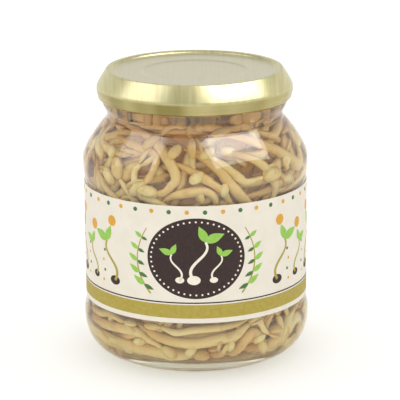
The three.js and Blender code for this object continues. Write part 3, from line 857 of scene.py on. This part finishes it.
def inkMaterial(name, hexCode, paleHex):
    # Offset ink on coated paper: flat, with the fine mottle of the paper under it
    material, tree = newMaterial(name)
    place = addNode(tree, "ShaderNodeTexCoord").outputs["Object"]
    mottle = addNode(tree, "ShaderNodeTexNoise", {"Scale": 900.0, "Detail": 3.0}, {"Vector": place})
    colour = addNode(tree, "ShaderNodeValToRGB", links={"Fac": mottle.outputs["Fac"]})
    rampColours(colour, [(0.35, hexCode), (0.75, paleHex)])
    film = addNode(tree, "ShaderNodeBsdfPrincipled", {"Roughness": 0.6, "IOR": 1.45},
                   {"Base Color": colour.outputs["Color"]})
    addNode(tree, "ShaderNodeOutputMaterial", links={"Surface": film.outputs[0]})
    return material


# Sprouts: the outermost follow the same seeded walk as the solid bunch. Short ones fill the gaps between
# them, with more at the heel and in the neck, and two layers lie behind.

sproutPlan = {
    "packTop": 90.6,
    "wallGap": 1.9,
    "outerDepth": 1.75,
    "drawsPerSprout": 8,
    "stemSteps": 3,
    "hookSteps": 3,
    "hookStep": 3.4,
    "shortest": 26.0,
    "longest": 44.0,
    "driftMost": 52.0,
    "driftWaves": 3,
    "driftPhase": 1.3,
    "driftHeight": 11.0,
    "headingSpread": 20.0,
    "bendSpread": 38.0,
    "hookLeast": 10.0,
    "hookMost": 125.0,
    "testSpacing": 2.5,
    "testsMost": 40000,
    "waverMm": 0.45,
    "waverTurns": 1.7,
    "waverInward": 0.35,
    "thickness": (0.80, 0.34),  # least, and spread, as for the heads
    "headSize": (0.82, 0.36),
    "headPart": 0.3,
    "headSplay": 0.16,
    "wallClear": 0.35,
    "topClear": 0.6,
    "radii": [0.22, 1.35, 1.75, 1.75, 1.45, 1.2, 0.9],
    # The zone is the least and greatest height that a layer keeps to, and the lift is towards the glass
    "layers": [
        {"name": "outer", "depth": 0.0, "zone": (0, 100), "seed": 20211, "candidates": 9000, "gap": 2.6,
         "lastShare": 0.55, "samples": 26, "sides": 10, "lift": (0.5, 1.55), "keepClear": False},
        {"name": "between", "depth": -0.9, "zone": (0, 100), "seed": 7331, "candidates": 16000, "gap": 1.95,
         "lastShare": 0.16, "samples": 16, "sides": 8, "lift": (0.0, 0.5), "keepClear": True},
        {"name": "heel", "depth": -0.9, "zone": (0, 17), "seed": 8863, "candidates": 5000, "gap": 1.75,
         "lastShare": 0.16, "samples": 14, "sides": 8, "lift": (0.0, 0.4), "keepClear": True},
        {"name": "neck", "depth": -0.9, "zone": (83, 100), "seed": 3109, "candidates": 5000, "gap": 1.6,
         "lastShare": 0.16, "samples": 14, "sides": 8, "lift": (0.0, 0.4), "keepClear": True},
        {"name": "middle", "depth": 1.7, "zone": (0, 100), "seed": 4517, "candidates": 16000, "gap": 1.5,
         "lastShare": 0.2, "samples": 14, "sides": 7, "lift": (0.0, 1.3), "keepClear": False},
        {"name": "inner", "depth": 3.1, "zone": (0, 100), "seed": 911, "candidates": 14000, "gap": 1.6,
         "lastShare": 0.2, "samples": 12, "sides": 6, "lift": (0.0, 1.2), "keepClear": False},
    ],
}


def layOutline(depth):
    # The surface that the middles of the stems lie on, the depth behind that of the outermost ones
    plan = sproutPlan
    pack = offsetOutline(innerWall(plan["packTop"], 5), plan["wallGap"])
    pack[0, 0] = 0
    pack[-1, 1] = plan["packTop"]
    pack = np.vstack([pack, [(0, plan["packTop"])]])
    lay = offsetOutline(pack, plan["outerDepth"] + min(depth, 0))
    lay[[0, -1], 0] = 0
    return shrunk(lay, depth, depth, -depth) if depth > 0 else lay


def shrunk(outline, depth, floorRise, topRise):
    # The same outline drawn in by the depth at its widest, and raised by its own amount at floor and top
    lowest, highest = outline[:, 1].min(), outline[:, 1].max()
    share = (outline[:, 1] - lowest) / (highest - lowest)
    return np.column_stack([outline[:, 0] * (1 - depth / outline[:, 0].max()),
                            outline[:, 1] + floorRise * (1 - share) + topRise * share])


def randomDraws(state, count):
    # state -> 16807 state mod (2^31 - 1), each divided by 2^31 - 1
    draws = np.empty(count)
    for i in range(count):
        state = state * 16807 % 2147483647
        draws[i] = state / 2147483647
    return draws


def settleOn(places, outline):
    # Nearest point of the outline in (r, z), and the surface's inward normal there
    radius = np.hypot(places[:, 0], places[:, 1])
    start, along = outline[:-1], np.diff(outline, axis=0)
    away = np.column_stack([radius, places[:, 2]])[:, None] - start
    share = np.clip((away * along).sum(axis=2) / (along ** 2).sum(axis=1), 0, 1)
    near = start + share[..., None] * along
    gap = np.hypot(near[..., 0] - radius[:, None], near[..., 1] - places[:, 2:])
    best = gap.argmin(axis=1)
    point = near[np.arange(len(places)), best]
    direction = unit(along)[best]
    out = places[:, :2] / np.maximum(radius, 1e-9)[:, None]
    settled = np.column_stack([out * point[:, :1], point[:, 1]])
    return settled, np.column_stack([-direction[:, 1:] * out, direction[:, 0]])


def turnedBy(vectors, axes, angles):
    # Rotation: v cos a + (k x v) sin a + k (k . v)(1 - cos a)
    cosine, sine = np.cos(angles)[:, None], np.sin(angles)[:, None]
    lean = (axes * vectors).sum(axis=1)[:, None]
    return vectors * cosine + np.cross(axes, vectors) * sine + axes * lean * (1 - cosine)


def walkSprouts(outline, draws, lengthShare):
    # All candidates walk at once: a gently bent stem, then a hook that ends in the head
    plan = sproutPlan
    sides = np.diff(outline, axis=0)
    areas = np.cumsum((outline[1:, 0] + outline[:-1, 0]) / 2 * np.linalg.norm(sides, axis=1))
    target = draws[:, 0] * areas[-1]
    stretch = np.searchsorted(areas, target)
    before = np.where(stretch > 0, areas[stretch - 1], 0)
    start = outline[stretch] + sides[stretch] * ((target - before) / (areas[stretch] - before))[:, None]
    turn = draws[:, 1] * 2 * np.pi
    radius, height = start.T
    place, normal = settleOn(np.column_stack([radius * np.cos(turn), radius * np.sin(turn), height]), outline)
    drift = plan["driftMost"] * np.sin(plan["driftWaves"] * turn + plan["driftPhase"]) * np.cos(
        height / plan["driftHeight"] + turn)
    tilt = np.radians(drift + (draws[:, 2] + draws[:, 3] - 1) * plan["headingSpread"])
    across = np.column_stack([-np.sin(turn), np.cos(turn), np.zeros(len(turn))])
    heading = turnedBy(across * np.where(draws[:, 4] < 0.5, -1, 1)[:, None], normal, tilt)
    length = (plan["shortest"] + (plan["longest"] - plan["shortest"]) * draws[:, 5]) * lengthShare
    bend = np.radians((draws[:, 6] - 0.5) * 2 * plan["bendSpread"])
    hook = np.radians(np.sign(draws[:, 6] - 0.5) * (
        plan["hookLeast"] + (plan["hookMost"] - plan["hookLeast"]) * draws[:, 7]))
    places, normals = [place], [normal]
    for i in range(plan["stemSteps"] + plan["hookSteps"]):
        inStem = i < plan["stemSteps"]
        heading = turnedBy(heading, normal, bend / plan["stemSteps"] if inStem else hook / plan["hookSteps"])
        step = length / plan["stemSteps"] if inStem else np.full(len(length), plan["hookStep"])
        settled, normal = settleOn(place + heading * step[:, None], outline)
        heading, place = unit(settled - place), settled
        places.append(place)
        normals.append(normal)
    return np.stack(places, axis=1), np.stack(normals, axis=1)


def laySprouts(layer, outline, before):
    # A candidate stays if it keeps clear of those laid before it. Later ones are shorter, to fit the gaps.
    plan, count = sproutPlan, layer["candidates"]
    draws = randomDraws(layer["seed"], count * plan["drawsPerSprout"]).reshape(count, -1)
    lengthShare = 1 + (layer["lastShare"] - 1) * np.arange(count) / count
    places, normals = walkSprouts(outline, draws, lengthShare)
    strides = np.linalg.norm(np.diff(places, axis=1), axis=2)
    counts = np.ceil(strides / plan["testSpacing"]).astype(int)
    taken = np.empty((len(before) + plan["testsMost"], 3))
    used, laid = len(before), []
    taken[:used] = before
    for i in range(count):
        which = np.repeat(np.arange(counts.shape[1]), counts[i])
        step = np.concatenate([(np.arange(n) + 1) / n for n in counts[i]])[:, None]
        tests = places[i][which] + (places[i][which + 1] - places[i][which]) * step
        probe = tests[len(tests) // 2]
        if used and ((taken[:used] - probe) ** 2).sum(axis=1).min() <= layer["gap"] ** 2:
            continue
        if used == 0 or ((tests[:, None] - taken[None, :used]) ** 2).sum(axis=2).min() > layer["gap"] ** 2:
            laid.append(i)
            taken[used:used + len(tests)] = tests
            used += len(tests)
    return places[laid], normals[laid], draws[laid], taken[:used]


def smoothThrough(points, samples):
    # Catmull-Rom: 0.5 (2 P1 + (P2 - P0) t + (2 P0 - 5 P1 + 4 P2 - P3) t^2 + (3 P1 - 3 P2 + P3 - P0) t^3)
    count = points.shape[1]
    where = np.linspace(0, count - 1, samples)
    i = np.minimum(where.astype(int), count - 2)
    t = (where - i)[None, :, None]
    first, last = 2 * points[:, :1] - points[:, 1:2], 2 * points[:, -1:] - points[:, -2:-1]
    padded = np.concatenate([first, points, last], axis=1)
    p0, p1, p2, p3 = (padded[:, i + k] for k in range(4))
    return 0.5 * (2 * p1 + (p2 - p0) * t + (2 * p0 - 5 * p1 + 4 * p2 - p3) * t ** 2
                  + (3 * p1 - 3 * p2 + p3 - p0) * t ** 3)


def tubesAlong(centre, normal, radius, sides):
    # Rings about a path: C + N r cos a + (T x N) r sin a. centre, normal: (tubes, samples, 3).
    tangent = unit(np.gradient(centre, axis=1))
    normal = unit(normal - tangent * (normal * tangent).sum(axis=2)[..., None])
    across = np.cross(tangent, normal)
    angle = np.linspace(0, 2 * np.pi, sides, endpoint=False)[:, None]
    ring = normal[:, :, None] * np.cos(angle) + across[:, :, None] * np.sin(angle)
    return centre[:, :, None] + ring * radius[:, :, None, None], tangent, across


def alongAndTone(along, tone, rings):
    # What the flesh materials read: the place from root to tip, and one random tone for each sprout
    return {"along": np.broadcast_to(along[None, :, None], rings.shape[:3]),
            "tone": np.broadcast_to(tone[:, None, None], rings.shape[:3])}


def makeSproutLayer(layer, outline, before, flesh, bean):
    plan = sproutPlan
    places, normals, draws, taken = laySprouts(layer, outline, before)
    least, most = layer["lift"]
    lift = least + (most - least) * draws[:, 2]
    normal = smoothThrough(normals, layer["samples"])
    t = np.linspace(0, 1, layer["samples"])
    # Each stem wavers by about half a millimetre in and out and from side to side
    waver = plan["waverMm"] * np.sin(2 * np.pi * (plan["waverTurns"] * t + draws[:, 3:4]))
    outward = lift[:, None] + plan["waverInward"] * waver
    centre = smoothThrough(places, layer["samples"]) - normal * outward[..., None]
    radius = np.interp(t, np.linspace(0, 1, len(plan["radii"])), plan["radii"])
    thickness = plan["thickness"][0] + plan["thickness"][1] * draws[:, 5:6]
    radius = radius * thickness * (1 + 0.05 * np.sin(9 * t + 6 * draws[:, 7:8]))
    rings, tangent, across = tubesAlong(centre, normal, radius, layer["sides"])
    sideways = across * waver[..., None]
    rings = keepInside(rings + sideways[:, :, None])
    stems = shellPiece("sproutStems" + layer["name"].capitalize(), rings, flesh,
                       attributes=alongAndTone(t, draws[:, 4], rings))
    settlePiece(stems, "jar", ["sprouts"])

    # Heads: two seed halves that part a little, at each tip, turned about it at random
    tip, ahead = (centre + sideways)[:, -1], tangent[:, -1]
    split = turnedBy(across[:, -1], ahead, 2 * np.pi * draws[:, 6])
    size = plan["headSize"][0] + plan["headSize"][1] * draws[:, 0]
    rows, sides = (9, 10) if layer["depth"] == 0 else (7, 7)
    halves = [seedHalves(tip + way * split * plan["headPart"], ahead + way * plan["headSplay"] * split,
                         way * split, size, rows, sides) for way in (-1, 1)]
    makeSeeds("seedHalves" + layer["name"].capitalize(), np.concatenate(halves), np.tile(draws[:, 1], 2),
              bean)
    return taken


beanPlan = {"halfLength": 3.4, "halfWidth": 2.1, "dome": 1.6, "flatShare": 0.2, "back": 0.8}


def seedHalves(root, ahead, dome, size, rows, sides):
    # Half a bean: 3.4 (1 - cos a) long, 2.1 sin a cos b wide, domed by 1.6 sin a sin b, flat on the far side
    a = np.linspace(0, np.pi, rows)[:, None]
    b = np.linspace(0, 2 * np.pi, sides, endpoint=False)
    x = beanPlan["halfLength"] * (1 - np.cos(a)) - beanPlan["back"] + 0 * b
    y = beanPlan["halfWidth"] * np.sin(a) * np.cos(b)
    z = beanPlan["dome"] * np.sin(a) * np.where(np.sin(b) > 0, np.sin(b), beanPlan["flatShare"] * np.sin(b))
    dome = unit(dome - ahead * (dome * ahead).sum(axis=1)[:, None])
    side = np.cross(dome, ahead)
    shape = (x[..., None] * ahead[:, None, None] + y[..., None] * side[:, None, None]
             + z[..., None] * dome[:, None, None])
    return root[:, None, None] + shape * size[:, None, None, None]


def makeSeeds(name, rings, tone, bean):
    attributes = alongAndTone(np.linspace(0, 1, rings.shape[1]), tone, rings)
    settlePiece(shellPiece(name, keepInside(rings), bean, attributes=attributes), "jar")


looseSeedPlan = {
    "seed": 5309,
    "tries": 170,
    "gap": 5.6,
    "lift": 1.7,
    "rootBack": 2.6,
    "size": (0.72, 0.3),  # least, and spread, as for the two ranges of height
    "toneMost": 0.7,
    "lowShare": 0.85,
    "low": (-40.0, 52.0),
    "high": (64.0, 22.0),
    "startRadius": 40.0,
}


def makeLooseSeeds(outline, bean):
    # Seed halves that came off and lie against the glass, most of them low down
    plan = looseSeedPlan
    draws = randomDraws(plan["seed"], plan["tries"] * 5).reshape(-1, 5)
    turn = 2 * np.pi * draws[:, 0]
    low, high = (plan[key][0] + plan[key][1] * draws[:, 2] for key in ("low", "high"))
    height = np.where(draws[:, 1] < plan["lowShare"], low, high)
    start = plan["startRadius"] * np.column_stack([np.cos(turn), np.sin(turn)])
    place, normal = settleOn(np.column_stack([start, height]), outline)
    gaps = np.linalg.norm(place[:, None] - place[None], axis=2)
    earlier = np.tril(np.ones_like(gaps), -1) > 0
    free = ~((gaps < plan["gap"]) & earlier).any(axis=1)
    place, normal, draws = place[free], normal[free], draws[free]
    level = unit(np.column_stack([-place[:, 1], place[:, 0], 0 * place[:, 0]]))
    ahead = turnedBy(level, normal, 2 * np.pi * draws[:, 3])
    root = place - normal * plan["lift"] - ahead * plan["rootBack"]
    size = plan["size"][0] + plan["size"][1] * draws[:, 4]
    rings = seedHalves(root, ahead, -normal, size, 9, 10)
    makeSeeds("seedHalvesLoose", rings, plan["toneMost"] * draws[:, 4], bean)


def keepInside(points):
    # Draws points in towards the axis where they pass the wall, and down below the brine's level
    plan = sproutPlan
    wall = innerWall(plan["packTop"], 16)[2:]
    limit = np.interp(points[..., 2], wall[:, 1], wall[:, 0]) - plan["wallClear"]
    radius = np.maximum(np.hypot(points[..., 0], points[..., 1]), 1e-6)
    share = np.minimum(limit / radius, 1)
    height = np.minimum(points[..., 2], plan["packTop"] + plan["topClear"])
    return np.stack([points[..., 0] * share, points[..., 1] * share, height], axis=-1)


corePlan = {"depth": 4.1, "floorRise": 0.4, "topRise": 1.5, "longestStep": 2.0, "facets": 96, "lumpMm": 0.6}


def makeCore(outline, material):
    # What is packed behind the layers: the outline drawn in, with lumps as large as sprouts
    plan = corePlan
    core = refine(shrunk(outline, plan["depth"], plan["floorRise"], plan["topRise"]), plan["longestStep"])
    radius, height, angle = turnGrid(core, plan["facets"])
    lumps = plan["lumpMm"] * np.sin(11 * angle + 0.5 * height) * np.sin(0.9 * height + 4 * angle)
    radius = radius + lumps * np.clip(core[:, :1] / 8, 0, 1)
    piece = shellPiece("sproutCore", ringsFrom(radius, height, angle), material)
    return settlePiece(piece, "jar")


def paintedLidShade(tree, colour):
    # Painted shade of the lid up in the neck: dark amber mixed in, none at 74 mm, three quarters from 88 mm
    # on
    place = addNode(tree, "ShaderNodeTexCoord").outputs["Object"]
    axes = addNode(tree, "ShaderNodeSeparateXYZ", links={0: place})
    share = addNode(tree, "ShaderNodeMapRange", {
        "From Min": 0.074, "From Max": 0.088, "To Max": 0.75}, {"Value": axes.outputs["Z"]})
    return addNode(tree, "ShaderNodeMix", {"data_type": "RGBA", 7: linearColour("#cd8d3a")},
                   {0: share.outputs["Result"], 6: colour})


def fleshMaterial(name, stops, amberHex, spotHex):
    # Blanched sprout flesh, wet: waxy and faintly see-through, browner at its root and in soft blotches,
    # some sprouts steeped darker than others, and painted shade of dark amber up in the neck under the lid
    material, tree = newMaterial(name)
    along = addNode(tree, "ShaderNodeAttribute", {"attribute_name": "along"})
    tone = addNode(tree, "ShaderNodeAttribute", {"attribute_name": "tone"})
    place = addNode(tree, "ShaderNodeTexCoord").outputs["Object"]
    base = addNode(tree, "ShaderNodeValToRGB", links={"Fac": along.outputs["Fac"]})
    rampColours(base, stops)
    steeped = addNode(tree, "ShaderNodeMapRange", {"From Min": 0.35, "To Max": 0.55},
                      {"Value": tone.outputs["Fac"]})
    toned = addNode(tree, "ShaderNodeMix", {"data_type": "RGBA", 7: linearColour(amberHex)},
                    {0: steeped.outputs["Result"], 6: base.outputs["Color"]})
    blotch = addNode(tree, "ShaderNodeTexNoise", {"Scale": 320.0, "Detail": 4.0, "Roughness": 0.65},
                     {"Vector": place})  # blotches of about 3 mm
    shade = addNode(tree, "ShaderNodeMapRange", {"From Min": 0.52, "From Max": 0.72, "To Max": 0.6},
                    {"Value": blotch.outputs["Fac"]})
    spotted = addNode(tree, "ShaderNodeMix", {"data_type": "RGBA", 7: linearColour(spotHex)},
                      {0: shade.outputs["Result"], 6: toned.outputs[2]})
    # Painted shade: darker amber up in the neck, where the lid shades the sprouts
    lidShaded = paintedLidShade(tree, spotted.outputs[2])
    bump = addNode(tree, "ShaderNodeBump", {"Strength": 0.25, "Distance": 0.0005},
                   {"Height": blotch.outputs["Fac"]})
    wet = addNode(tree, "ShaderNodeBsdfPrincipled", {
        "Roughness": 0.4, "IOR": 1.4, "Subsurface Weight": 0.4, "Subsurface Radius": (1.0, 0.6, 0.3),
        "Subsurface Scale": 0.0015,
    }, {"Base Color": lidShaded.outputs[2], "Normal": bump.outputs["Normal"]})
    addNode(tree, "ShaderNodeOutputMaterial", links={"Surface": wet.outputs[0]})
    return material


def coreMaterial():
    # Sprout flesh, wet and closely packed: even amber, darker than the stems as painted shade deep in the
    # pack, and darker still up in the neck
    material, tree = newMaterial("packedSproutFleshPaintedShade")
    place = addNode(tree, "ShaderNodeTexCoord").outputs["Object"]
    cloud = addNode(tree, "ShaderNodeTexNoise", {"Scale": 140.0, "Detail": 4.0}, {"Vector": place})
    colour = addNode(tree, "ShaderNodeValToRGB", links={"Fac": cloud.outputs["Fac"]})
    # Painted shade: the deep pack is given a darker amber than the stems in front of it
    rampColours(colour, [(0.3, "#e0aa58"), (0.7, "#efc986")])
    # Painted shade: darker amber up in the neck, where the lid shades the pack
    lidShaded = paintedLidShade(tree, colour.outputs["Color"])
    mass = addNode(tree, "ShaderNodeBsdfPrincipled", {"Roughness": 0.7}, {"Base Color": lidShaded.outputs[2]})
    addNode(tree, "ShaderNodeOutputMaterial", links={"Surface": mass.outputs[0]})
    return material


print("camera and light")
placeCamera()
placeLights()
makeFloor()

print("glass and brine")
glass = clearMaterial("flintGlassMoulded", "#fcfefc", "#b4cf96", 13.0, 1.5, "#fafdfb")
brine = clearMaterial("brineAmber", "#fffcf2", "#f2b256", 29.0, 1.333, "#fef9ec")
makeJar(glass)
makeBrine(brine)

print("lid and seal")
makeLid(lidMaterial())
makeSeal(sealMaterial())

print("label and print")
makeLabel(paperMaterial())
makePrint({
    "white": inkMaterial("inkOpaqueWhite", "#f3f2ef", "#fbfaf8"),
    "brown": inkMaterial("inkUmberBrown", "#2b1a17", "#38231f"),
    "olive": inkMaterial("inkOlive", "#a8963a", "#b3a24c"),
    "ochre": inkMaterial("inkOchre", "#d79a2b", "#e0a93f"),
    "leafGreen": inkMaterial("inkLeafGreen", "#8fc04a", "#9ccb5d"),
    "deepGreen": inkMaterial("inkDeepGreen", "#3f6b34", "#4d7a40"),
    "cream": inkMaterial("inkCream", "#ece4d0", "#f3ecdc"),
})

print("sprouts")
stemFlesh = fleshMaterial("sproutStemFlesh", [(0.0, "#ad7c40"), (0.12, "#d8b878"), (0.3, "#e9d39c"),
                                              (0.75, "#eedcae"), (1.0, "#dfcb88")], "#d8a865", "#cf9a58")
seedFlesh = fleshMaterial("seedHalfFlesh", [(0.0, "#e4cc8a"), (0.5, "#ebd9ae"), (1.0, "#dcb966")],
                          "#d0a03c", "#c0903c")
taken = np.zeros((0, 3))
for layer in sproutPlan["layers"]:
    before = taken if layer["keepClear"] else taken[:0]
    outline = layOutline(layer["depth"])
    lowest, highest = layer["zone"]
    if lowest > outline[0, 1] or highest < outline[-1, 1]:
        outline = refine(outline, 1.5)
        outline = outline[(outline[:, 1] >= lowest) & (outline[:, 1] <= highest)]
    taken = makeSproutLayer(layer, outline, before, stemFlesh, seedFlesh)
makeLooseSeeds(layOutline(0), seedFlesh)
makeCore(layOutline(0), coreMaterial())
